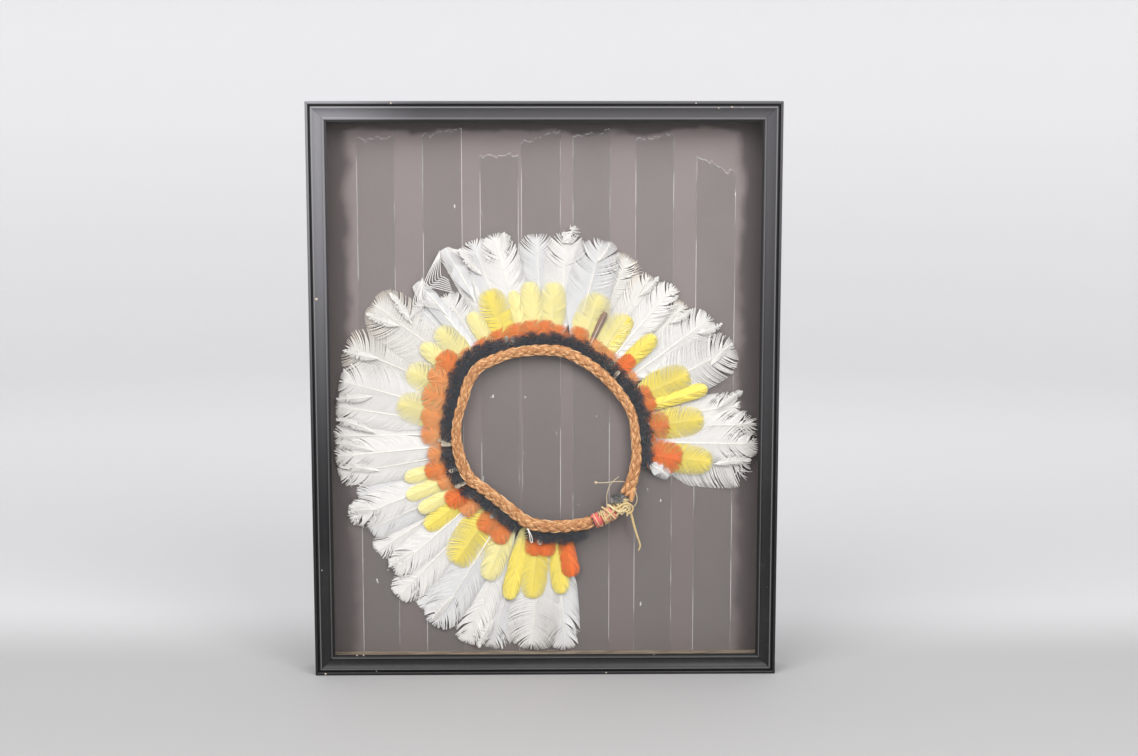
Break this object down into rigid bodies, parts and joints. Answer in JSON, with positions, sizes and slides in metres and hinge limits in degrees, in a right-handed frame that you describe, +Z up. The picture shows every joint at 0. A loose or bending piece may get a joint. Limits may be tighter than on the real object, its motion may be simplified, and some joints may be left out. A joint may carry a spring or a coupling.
{
  "type": "feathered headdress in a glazed display frame",
  "caption": "Ring headdress of white, yellow, orange and black feathers round a plaited fibre band, held flat in an upright black wooden display frame behind glass.",
  "frame": {"origin": "middle of the frame's footprint, on the surface that it stands on", "axes": "+Z up along the frame's height, +X across it, the glass faces -Y and the backing +Y"},
  "size_m": [0.5, 0.045, 0.618],
  "materials": {
    "frame_paint": "black satin paint, chipped to pale wood at edges",
    "glass": "clear polished",
    "backing_paper": "matte warm grey paper",
    "tape": "clear tape strips, satin, torn upper ends",
    "raw_wood": "unfinished",
    "palm_fibre": "plaited palm fibre",
    "red_cloth": "woven cloth",
    "raffia": "raffia strips and strings",
    "white_feather": "feather barbs, soft sheen",
    "yellow_feather": "feather barbs, soft sheen",
    "orange_feather": "feather barbs, soft",
    "black_feather": "fluffy down, bluish sheen"
  },
  "bodies": {
    "root": {"rail_bottom": "frame_paint", "rail_right": "frame_paint", "rail_top": "frame_paint", "rail_left": "frame_paint", "glass": "glass", "backing_board": "backing_paper", "spacer_bottom": "raw_wood", "spacer_top": "raw_wood", "spacer_left": "raw_wood", "spacer_right": "raw_wood", "headband": "palm_fibre", "red_binding": "red_cloth", "raffia_tie": "raffia", "tie_tail": "raffia", "tie_string_long": "raffia", "tie_string_short": "raffia", "tie_loop": "raffia", "white_feather_01": "white_feather", "white_feather_02": "white_feather", "white_feather_03": "white_feather", "white_feather_04": "white_feather", "white_feather_05": "white_feather", "white_feather_06": "white_feather", "white_feather_07": "white_feather", "white_feather_08": "white_feather", "white_feather_09": "white_feather", "white_feather_10": "white_feather", "white_feather_11": "white_feather", "white_feather_12": "white_feather", "white_feather_13": "white_feather", "white_feather_14": "white_feather", "white_feather_15": "white_feather", "white_feather_16": "white_feather", "white_feather_17": "white_feather", "white_feather_18": "white_feather", "white_feather_19": "white_feather", "white_feather_20": "white_feather", "white_feather_21": "white_feather", "white_feather_22": "white_feather", "white_feather_23": "white_feather", "white_feather_24": "white_feather", "white_feather_25": "white_feather", "white_feather_26": "white_feather", "white_feather_27": "white_feather", "white_feather_28": "white_feather", "white_feather_29": "white_feather", "white_feather_30": "white_feather", "white_feather_31": "white_feather", "white_feather_32": "white_feather", "white_feather_33": "white_feather", "white_feather_34": "white_feather", "white_feather_35": "white_feather", "white_feather_36": "white_feather", "yellow_row_main": "yellow_feather", "yellow_row_lower": "yellow_feather", "orange_row_main": "orange_feather", "orange_row_lower": "orange_feather", "black_row_main": "black_feather", "black_row_lower": "black_feather"}
  },
  "joints": []
}
